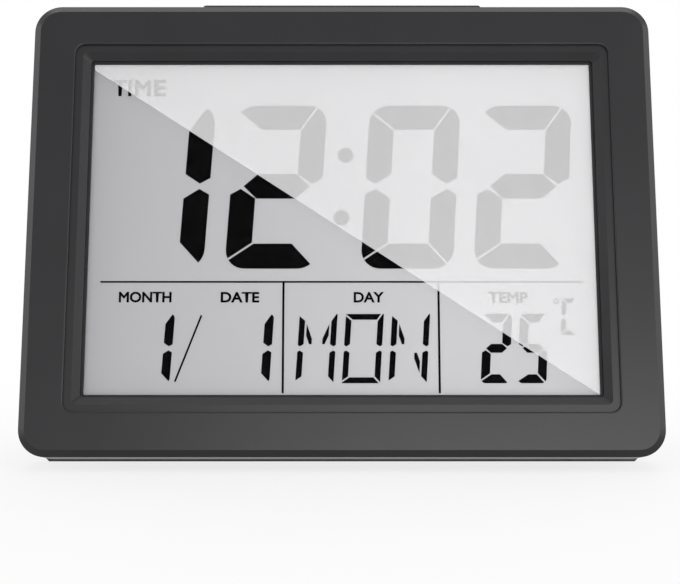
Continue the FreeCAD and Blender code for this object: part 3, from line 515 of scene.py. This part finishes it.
def segment_cuts(half, height, stroke, gap, waist):
    """For each segment, the lines that cut it out of the character's outline."""
    inner = half - stroke
    top = height - stroke
    middle = height / 2
    tip = half - 0.4 * stroke
    point = 0.72 * half
    slit = gap / 2

    # The diagonals of the day's letters run between the sides and the middle, clear of both
    side = inner - 0.42
    centre = 1.17
    outer_end = 5.45
    inner_end = 2.9
    foot = 0.95

    def mitre(x, z, angle):
        turn = math.radians(angle)
        return (x - slit * math.cos(turn), z - slit * math.sin(turn), angle)

    return {
        "a": [(0, top, -90), mitre(inner, top, -33), mitre(-inner, top, 231)],
        "b": [
            (inner, 0, 180),
            mitre(inner, top, 147),
            (tip, middle + waist, 237),
            (tip, middle + waist, -60),
        ],
        "c": [
            (inner, 0, 180),
            mitre(inner, stroke, 224),
            (tip, middle - waist, 123),
            (tip, middle - waist, 60),
        ],
        "d": [(0, stroke, 90), mitre(inner, stroke, 44), mitre(-inner, stroke, 125)],
        "e": [
            (-inner, 0, 0),
            mitre(-inner, stroke, 305),
            (-tip, middle - waist, 57),
            (-tip, middle - waist, 120),
        ],
        "f": [
            (-inner, 0, 0),
            mitre(-inner, top, 51),
            (-tip, middle + waist, 303),
            (-tip, middle + waist, 240),
        ],
        "g": [
            (0, middle + stroke / 2, 90),
            (0, middle - stroke / 2, -90),
            (point, middle, 47),
            (point, middle, -47),
            (-point, middle, 133),
            (-point, middle, -133),
        ],
        "h": [
            (-side, 0, 180),
            (-side, middle + outer_end, 22),
            (-side, middle + inner_end, 202),
            (0, middle + foot, -90),
            (-centre, 0, 0),
        ],
        "j": [
            (side, 0, 0),
            (side, middle + outer_end, 158),
            (side, middle + inner_end, -22),
            (0, middle + foot, -90),
            (centre, 0, 180),
        ],
        "m": [
            (side, 0, 0),
            (side, middle - outer_end, 202),
            (side, middle - inner_end, 22),
            (0, middle - foot, 90),
            (centre, 0, 180),
        ],
    }


def character(bm, sign, style, centre, low):
    """Adds a character of the display, its waist centred at x and its foot at z."""
    half, height, stroke, corner, gap, waist = STYLES[style]
    cuts = segment_cuts(half, height, stroke, gap, waist)
    for segment in LIT[sign]:
        part = bmesh.new()
        oblong(part, -half, half, 0, height, corner, 8)
        for line in cuts[segment]:
            trim(part, *line)
        for vert in part.verts:
            vert.co.x += centre + SLANT * (vert.co.z - height / 2)
            vert.co.z += low
        merge(bm, part)


def merge(bm, part):
    """Moves one mesh into another."""
    holder = bpy.data.meshes.new("holder")
    part.to_mesh(holder)
    part.free()
    bm.from_mesh(holder)
    bpy.data.meshes.remove(holder)


def stripe(bm, x1, z1, x2, z2, width):
    """A straight line of the display, from point to point."""
    part = bmesh.new()
    length = math.hypot(x2 - x1, z2 - z1)
    oblong(part, 0, length, -width / 2, width / 2)
    part.transform(
        Matrix.Translation((x1, 0, z1)) @ Matrix.Rotation(-math.atan2(z2 - z1, x2 - x1), 4, "Y")
    )
    merge(bm, part)


def disc(bm, x, z, radius, hole=0.0):
    """A dot of the display, or a ring round a hole."""
    part = bmesh.new()
    bmesh.ops.create_circle(part, cap_ends=not hole, segments=STEPS_PER_TURN, radius=radius)
    if hole:
        bmesh.ops.create_circle(part, cap_ends=False, segments=STEPS_PER_TURN, radius=hole)
        bmesh.ops.bridge_loops(part, edges=part.edges)
    part.transform(Matrix.Translation((x, 0, z)) @ Matrix.Rotation(math.radians(90), 4, "X"))
    merge(bm, part)


def swell(bm, amount):
    """Moves the outline of flat letters outwards, which makes their strokes heavier."""
    sides = {}
    for edge in bm.edges:
        if edge.is_boundary:
            face = edge.link_faces[0]
            start, end = edge.verts
            out = (end.co - start.co).normalized().cross(face.normal)
            if out.dot(start.co - face.calc_center_median()) < 0:
                out.negate()
            for vert in edge.verts:
                sides.setdefault(vert, []).append(out)
    for vert, outs in sides.items():
        total = sum(outs, Vector())
        if total.length > 0.5:
            vert.co += total * 2 * amount / total.length_squared


def drawn(curve):
    """The mesh that a curve or text draws; the curve itself is removed."""
    holder = bpy.data.objects.new(curve.name, curve)
    bpy.context.scene.collection.objects.link(holder)
    bpy.context.view_layer.update()
    graph = bpy.context.evaluated_depsgraph_get()
    mesh = bpy.data.meshes.new_from_object(holder.evaluated_get(graph))
    bpy.data.objects.remove(holder)
    bpy.data.curves.remove(curve)
    part = bmesh.new()
    part.from_mesh(mesh)
    bpy.data.meshes.remove(mesh)
    return part


def words(text, low_x, high_x, low_z, high_z, weight):
    """Flat letters that fill a rectangle of x and z, their strokes heavier by weight."""
    curve = bpy.data.curves.new("lettering", "FONT")
    curve.body = text
    curve.resolution_u = 4
    part = drawn(curve)
    bmesh.ops.remove_doubles(part, verts=part.verts, dist=0.0001)
    part.normal_update()
    swell(part, weight)
    xs = [v.co.x for v in part.verts]
    ys = [v.co.y for v in part.verts]
    wide = (high_x - low_x) / (max(xs) - min(xs))
    tall = (high_z - low_z) / (max(ys) - min(ys))
    for vert in part.verts:
        across = (vert.co.x - min(xs)) * wide
        up = (vert.co.y - min(ys)) * tall
        vert.co = (low_x + across, 0, low_z + up)
    return part


# The time, the date, the day and the temperature. The first row stands on one line, and the
# row below it on another.
ink = display_ink()
TIME_FOOT = 41.95
DATE_FOOT = 16.3
bm = bmesh.new()
for sign, style, centre, low in (
    ("1", "time", -40.15, TIME_FOOT),
    ("2", "time", -14.75, TIME_FOOT),
    ("0", "time", 15.62, TIME_FOOT),
    ("2", "time", 40.93, TIME_FOOT),
    ("1", "date", -40.64, DATE_FOOT),
    ("1", "date", -18.67, DATE_FOOT),
    ("M", "day", -5.6, DATE_FOOT),
    ("O", "day", 4.65, DATE_FOOT),
    ("N", "day", 14.9, DATE_FOOT),
    ("2", "date", 34.15, DATE_FOOT),
    ("5", "date", 42.25, DATE_FOOT),
    ("C", "unit", 50.35, 27.0),
):
    character(bm, sign, style, centre, low)
# The colon's two dots, the degree's ring and the date's slash
disc(bm, 0.84, 68.16, 1.75)
disc(bm, -0.09, 53.6, 1.75)
disc(bm, 47.58, 34.55, 0.66, hole=0.36)
stripe(bm, -31.15, 31.4, -36.74, 16.62, 0.4)
raise_plate(bm, bm.faces[:], INK_FRONT, INK_BACK)
piece("display_segments", bm, "polariser_film", ink)

# The fixed lines and words
LINE_HIGH = 38.94
LINE_LOW = 14.1
TITLE_LOW = 82.15
TITLE_HIGH = 86.0
CAPTION_LOW = 34.28
CAPTION_HIGH = 36.66
CAPTION_WEIGHT = 0.03
bm = bmesh.new()
stripe(bm, -53.8, LINE_HIGH, 53.6, LINE_HIGH, 0.38)
for x in (-13.0, 21.5):
    stripe(bm, x, LINE_HIGH, x, LINE_LOW, 0.48)
raise_plate(bm, bm.faces[:], INK_FRONT, INK_BACK)
piece("display_lines", bm, "polariser_film", ink)

bm = bmesh.new()
for text, low_x, high_x, low_z, high_z in (
    ("T", -52.3, -49.2, TITLE_LOW, TITLE_HIGH),
    ("I", -48.9, -48.15, TITLE_LOW, TITLE_HIGH),
    ("M", -47.35, -43.75, TITLE_LOW, TITLE_HIGH),
    ("E", -43.0, -40.2, TITLE_LOW, TITLE_HIGH),
    ("MONTH", -49.6, -37.88, CAPTION_LOW, 36.72),
    ("DATE", -26.94, -18.37, CAPTION_LOW, CAPTION_HIGH),
    ("DAY", 2.63, 9.36, CAPTION_LOW, CAPTION_HIGH),
    ("TEMP", 32.5, 41.4, 34.2, CAPTION_HIGH),
):
    merge(bm, words(text, low_x, high_x, low_z, high_z, CAPTION_WEIGHT))
raise_plate(bm, bm.faces[:], INK_FRONT, INK_BACK)
piece("display_words", bm, "polariser_film", ink)

# The window pane, with its edges taken off, and the foam ring that holds it
bm = bmesh.new()
half, low, high = PANE
oblong(bm, -half, half, low, high, 1.5)
raise_plate(bm, bm.faces[:], PANE_FRONT, PANE_BACK)
bmesh.ops.bevel(
    bm,
    geom=[e for e in bm.edges if abs(e.verts[0].co.y - e.verts[1].co.y) < 0.01],
    offset=0.15,
    segments=1,
    profile=0.5,
    affect="EDGES",
    material=-1,
)
piece("window_pane", bm, "clear_acrylic", instead_of=["display_lens"])

bm = bmesh.new()
for half, low, high in ((PANE[0], PANE[1], FOAM_HIGH), WINDOW):
    oblong(bm, -half, half, low, high, 0.3, 3)
bmesh.ops.delete(bm, geom=bm.faces[:], context="FACES_ONLY")
bmesh.ops.bridge_loops(bm, edges=bm.edges)
raise_plate(bm, bm.faces[:], TAPE_FRONT, TAPE_BACK)
piece("foam_ring", bm, "adhesive_foam", instead_of=["lens_tape"])

# Painted reflection: a whitish veil of glare over the window's upper right half. Its cut edge
# crosses the middle at a height, and falls by a slope to the right.
GLARE_CUT_HEIGHT = 50.77
GLARE_CUT_SLOPE = 0.659
bm = bmesh.new()
half, low, high = GLARE_OUTLINE
oblong(bm, -half, half, low, high)
trim(bm, 0, GLARE_CUT_HEIGHT, math.degrees(math.atan2(-1, -GLARE_CUT_SLOPE)))
raise_plate(bm, bm.faces[:], GLARE_FRONT, GLARE_BACK)
# The painted glare throws no shadow, so the display under it keeps all its light
piece("window_film", bm, "clear_acrylic", glare_paint()).visible_shadow = False


# The battery bay: two cells and their springs. The case stands upright, so these are placed
# in the clock's own millimetres: x to the right, y to the back, z up from the floor.
UPRIGHT = Matrix.Scale(MM, 4)
CELL_Y = 12.6
UPPER_CELL = 30.4
LOWER_CELL = 17.6
CELL_TIP = 25.0
CELL_LENGTH = 44.5
SLEEVE_FROM = 4.8
CELL_PROFILE = (
    # Distance from the flat end and radius: base, crimp, sleeve, seal, cap and tip
    (0.0, 0.0),
    (0.0, 4.05),
    (0.22, 4.3),
    (0.3, 4.7),
    (0.05, 4.95),
    (0.3, 5.25),
    (43.45, 5.25),
    (43.7, 4.95),
    (43.35, 4.6),
    (43.3, 2.9),
    (43.62, 2.6),
    (43.7, 2.05),
    (44.3, 1.9),
    (CELL_LENGTH, 1.6),
    (CELL_LENGTH, 0.0),
)
SPRING_WIRE = 0.5
SPRING_TURNS = 3
SPRING_LENGTH = 5.0
SPRING_RADIUS = 3.4
SPRING_TAPER = 1.1


def spin_profile(bm, profile, steps):
    """A closed body of revolution round x, from its distances along x and its radii."""
    made = [bm.verts.new((along, radius, 0)) for along, radius in profile]
    lines = [bm.edges.new(pair) for pair in zip(made, made[1:])]
    bmesh.ops.spin(
        bm,
        geom=made + lines,
        cent=(0, 0, 0),
        axis=(1, 0, 0),
        angle=2 * math.pi,
        steps=steps,
        use_merge=True,
    )
    bmesh.ops.remove_doubles(bm, verts=bm.verts, dist=0.0005)


def smooth(made):
    """Rounds the shading of a piece, except where its faces meet at a sharp angle."""
    for face in made.data.polygons:
        face.use_smooth = True
    made.data.set_sharp_from_angle(angle=SHARP_ANGLE)


def lay(z, side):
    """Lays a shape drawn along x in the bay, at height z, its far end towards side."""
    turn = Matrix.Rotation(0 if side > 0 else math.pi, 4, "Z")
    return UPRIGHT @ Matrix.Translation((0, CELL_Y, z)) @ turn


def spring_wire():
    """A contact spring of round wire, which narrows along x."""
    curve = bpy.data.curves.new("wire", "CURVE")
    curve.dimensions = "3D"
    curve.bevel_depth = SPRING_WIRE / 2
    curve.bevel_resolution = 3
    curve.use_fill_caps = True
    line = curve.splines.new("POLY")
    count = SPRING_TURNS * STEPS_PER_TURN
    line.points.add(count)
    for number, point in enumerate(line.points):
        share = number / count
        turn = 2 * math.pi * SPRING_TURNS * share
        radius = SPRING_RADIUS - SPRING_TAPER * share
        across = (radius * math.cos(turn), radius * math.sin(turn))
        point.co = (SPRING_LENGTH * share, *across, 1)
    return drawn(curve)


for name, z, side in (("upper", UPPER_CELL, 1), ("lower", LOWER_CELL, -1)):
    bm = bmesh.new()
    spin_profile(bm, CELL_PROFILE, 48)
    for face in bm.faces:
        far = max(math.hypot(v.co.y, v.co.z) for v in face.verts)
        face.material_index = 0 if far > SLEEVE_FROM else 1
    bm.transform(Matrix.Translation((CELL_TIP - CELL_LENGTH, 0, 0)))
    made = piece(
        "cell_" + name, bm, "cell_jacket", turn=lay(z, side), instead_of=["battery_" + name]
    )
    made.data.materials.append(finishes["plated_steel"])
    smooth(made)

    bm = spring_wire()
    bm.transform(Matrix.Translation((SPRING_WIRE / 2 - CELL_TIP, 0, 0)))
    smooth(
        piece(
            "spring_wire_" + name,
            bm,
            "plated_steel",
            turn=lay(z, side),
            instead_of=["spring_" + name],
        )
    )


# The screws that close the case, with cross recesses in their domed heads, each turned a
# little. The profile gives radii and depths from the back, from the recess to the shank's end.
SCREW_X = 60.0
SCREW_Z = 94.0
SCREW_TURN = 0.4
RECESS_DEPTH = 0.95
RECESS_TAPER = 0.55
SCREW_PROFILE = (
    (1.75, 15.6),
    (2.15, 15.35),
    (2.4, 14.9),
    (2.4, 14.0),
    (1.1, 14.0),
    (1.1, 6.3),
    (0.5, 5.5),
)


def cross(bm, x, z, size, width):
    """A flat cross of two bars, drawn in x and z."""
    near, far = width / 2, size / 2
    quarter = [(near, near), (near, far), (-near, far)]
    corners = []
    for _ in range(4):
        corners += quarter
        quarter = [(-up, across) for across, up in quarter]
    return bm.faces.new([bm.verts.new((x + across, 0, z + up)) for across, up in corners])


bm = bmesh.new()
for x in (-SCREW_X, SCREW_X):
    screw = bmesh.new()
    recess = cross(screw, 0, 0, 2.3, 0.62)
    rings = []
    for radius, depth in SCREW_PROFILE:
        ring = bmesh.ops.create_circle(screw, segments=24, radius=radius)["verts"]
        for vert in ring:
            vert.co = (vert.co.x, depth, vert.co.y)
        rings.append(ring)
    for vert in recess.verts:
        vert.co.y = SCREW_PROFILE[0][1]
    outlines = [list(recess.edges)]
    for ring in rings:
        outlines.append([e for e in screw.edges if e.verts[0] in ring and e.verts[1] in ring])
    for first, second in zip(outlines, outlines[1:]):
        bmesh.ops.bridge_loops(screw, edges=first + second)
    bmesh.ops.contextual_create(screw, geom=rings[-1])
    sunk = bmesh.ops.extrude_face_region(screw, geom=[recess])
    bmesh.ops.delete(screw, geom=[recess], context="FACES")
    for item in sunk["geom"]:
        if isinstance(item, bmesh.types.BMVert):
            item.co.x *= RECESS_TAPER
            item.co.y -= RECESS_DEPTH
            item.co.z *= RECESS_TAPER
    turn = Matrix.Rotation(math.copysign(SCREW_TURN, x), 4, "Y")
    screw.transform(Matrix.Translation((x, 0, SCREW_Z)) @ turn)
    merge(bm, screw)
smooth(piece("cross_head_screws", bm, "screw_steel", instead_of=["case_screws"]))


# Raised words and signs on the back, which is read from behind. They stand proud of their
# surface and are rooted a little below it.
CASE_BACK = 21.5
DOOR_BACK = 21.4
BAY_LEDGE = 19.5
KEY_WORDS = 78.6
SWITCH_WORDS = 68.0
LETTER_HEIGHT = 2.2
LETTER_WEIGHT = 0.012
LETTER_PROUD = 0.2
LETTER_ROOT = 0.1
SIGN_PROUD = 0.06
SIGN_X = 27.8
DOOR_ARROW = ((-2.2, 0, 29.6), (2.2, 0, 29.6), (0, 0, 26.6))


def behind(bm, surface, proud):
    """Turns a flat drawing round, so that it reads from behind, and raises it there."""
    for vert in bm.verts:
        vert.co.x = -vert.co.x
    raise_plate(bm, bm.faces[:], surface - LETTER_ROOT, surface + proud)


stamping = stamped_ink()
bm = bmesh.new()
for text, x, z, wide in (
    ("MODE", 27.0, KEY_WORDS, 7.4),
    ("SET", 9.0, KEY_WORDS, 5.2),
    ("UP", -9.0, KEY_WORDS, 3.8),
    ("DOWN", -27.0, KEY_WORDS, 7.6),
    ("°C/°F", -45.0, KEY_WORDS, 7.4),
    ("ALARM", 45.0, KEY_WORDS, 8.6),
    ("OFF", 48.2, SWITCH_WORDS, 4.4),
    ("ON", 41.8, SWITCH_WORDS, 3.4),
):
    high = z + LETTER_HEIGHT
    merge(bm, words(text, x - wide / 2, x + wide / 2, z, high, LETTER_WEIGHT))
behind(bm, CASE_BACK, LETTER_PROUD)
piece("raised_words", bm, "case_plastic", stamping, turn=UPRIGHT)

bm = bmesh.new()
for x, z, plus in (
    (-SIGN_X, UPPER_CELL, True),
    (SIGN_X, UPPER_CELL, False),
    (SIGN_X, LOWER_CELL, True),
    (-SIGN_X, LOWER_CELL, False),
):
    if plus:
        cross(bm, x, z, 2.6, 0.6)
    else:
        oblong(bm, x - 1.3, x + 1.3, z - 0.3, z + 0.3)
behind(bm, BAY_LEDGE, SIGN_PROUD)
piece("polarity_signs", bm, "case_plastic", stamping, turn=UPRIGHT)

bm = bmesh.new()
bm.faces.new([bm.verts.new(corner) for corner in DOOR_ARROW])
merge(bm, words("OPEN", -3.9, 3.9, 22.6, 24.9, LETTER_WEIGHT))
behind(bm, DOOR_BACK, LETTER_PROUD)
piece("door_signs", bm, "case_plastic", stamping, turn=UPRIGHT, body="battery_door")


# The camera, where the photograph was taken from, in metres. A tilt of 90 degrees is level.
FOCAL_LENGTH = 67.5
SENSOR_WIDTH = 36.0
CAMERA_PLACE = (-0.00042, -0.2932, 0.0577)
CAMERA_TILT = 86.0

lens = bpy.data.cameras.new("camera")
lens.lens = FOCAL_LENGTH
lens.sensor_width = SENSOR_WIDTH
lens.clip_start = 0.01
camera = bpy.data.objects.new("camera", lens)
camera.location = CAMERA_PLACE
camera.rotation_euler = (math.radians(CAMERA_TILT), 0, 0)
bpy.context.scene.collection.objects.link(camera)
bpy.context.scene.camera = camera


# The stage: a pale floor, soft lamps and a white surround
CLOCK_MIDDLE = Vector((0, 0, 0.05))
FLOOR_HALF = 3.0
FILL_STRENGTH = 0.2


def lamp(name, at, width, height, power):
    """A soft box that faces the clock, in metres and watts."""
    data = bpy.data.lights.new(name, "AREA")
    data.shape = "RECTANGLE"
    data.size = width
    data.size_y = height
    data.energy = power
    made = bpy.data.objects.new(name, data)
    made.location = at
    made.rotation_euler = (CLOCK_MIDDLE - Vector(at)).to_track_quat("-Z", "Y").to_euler()
    bpy.context.scene.collection.objects.link(made)


lamp("overhead_softbox", (0, 0, 0.75), 0.9, 0.7, 2.0)
lamp("rear_top_softbox", (0, 0.4, 0.75), 0.9, 0.5, 3.2)
lamp("rear_softbox", (0.2, 1.3, 0.5), 0.8, 0.5, 5.5)
lamp("left_softbox", (-0.85, -0.1, 0.3), 0.5, 0.6, 2.2)
lamp("right_softbox", (0.85, -0.1, 0.3), 0.5, 0.6, 1.8)
lamp("front_softbox", (0.25, -1.6, 0.3), 0.9, 0.4, 10.8)
lamp("right_front_softbox", (0.8, -0.8, 0.4), 0.5, 0.6, 2.2)

bm = bmesh.new()
bmesh.ops.create_grid(bm, x_segments=1, y_segments=1, size=FLOOR_HALF)
mesh = bpy.data.meshes.new("floor")
bm.to_mesh(mesh)
bm.free()
floor = bpy.data.objects.new("floor", mesh)
bpy.context.scene.collection.objects.link(floor)
mesh.materials.append(floor_paint())

world = bpy.data.worlds.new("studio")
bpy.context.scene.world = world
world.use_nodes = True
tree = world.node_tree
tree.nodes.clear()
seen = background_rays(tree)
fill = add(tree, "ShaderNodeBackground", Color=colour("#ffffff"), Strength=FILL_STRENGTH)
white = add(tree, "ShaderNodeBackground", Color=colour("#ffffff"), Strength=1.0)
mix = add(
    tree,
    "ShaderNodeMixShader",
    [(seen, 0), (fill.outputs["Background"], 1), (white.outputs["Background"], 2)],
)
add(tree, "ShaderNodeOutputWorld", [(mix.outputs["Shader"], "Surface")])

bpy.context.scene.view_settings.view_transform = "Standard"
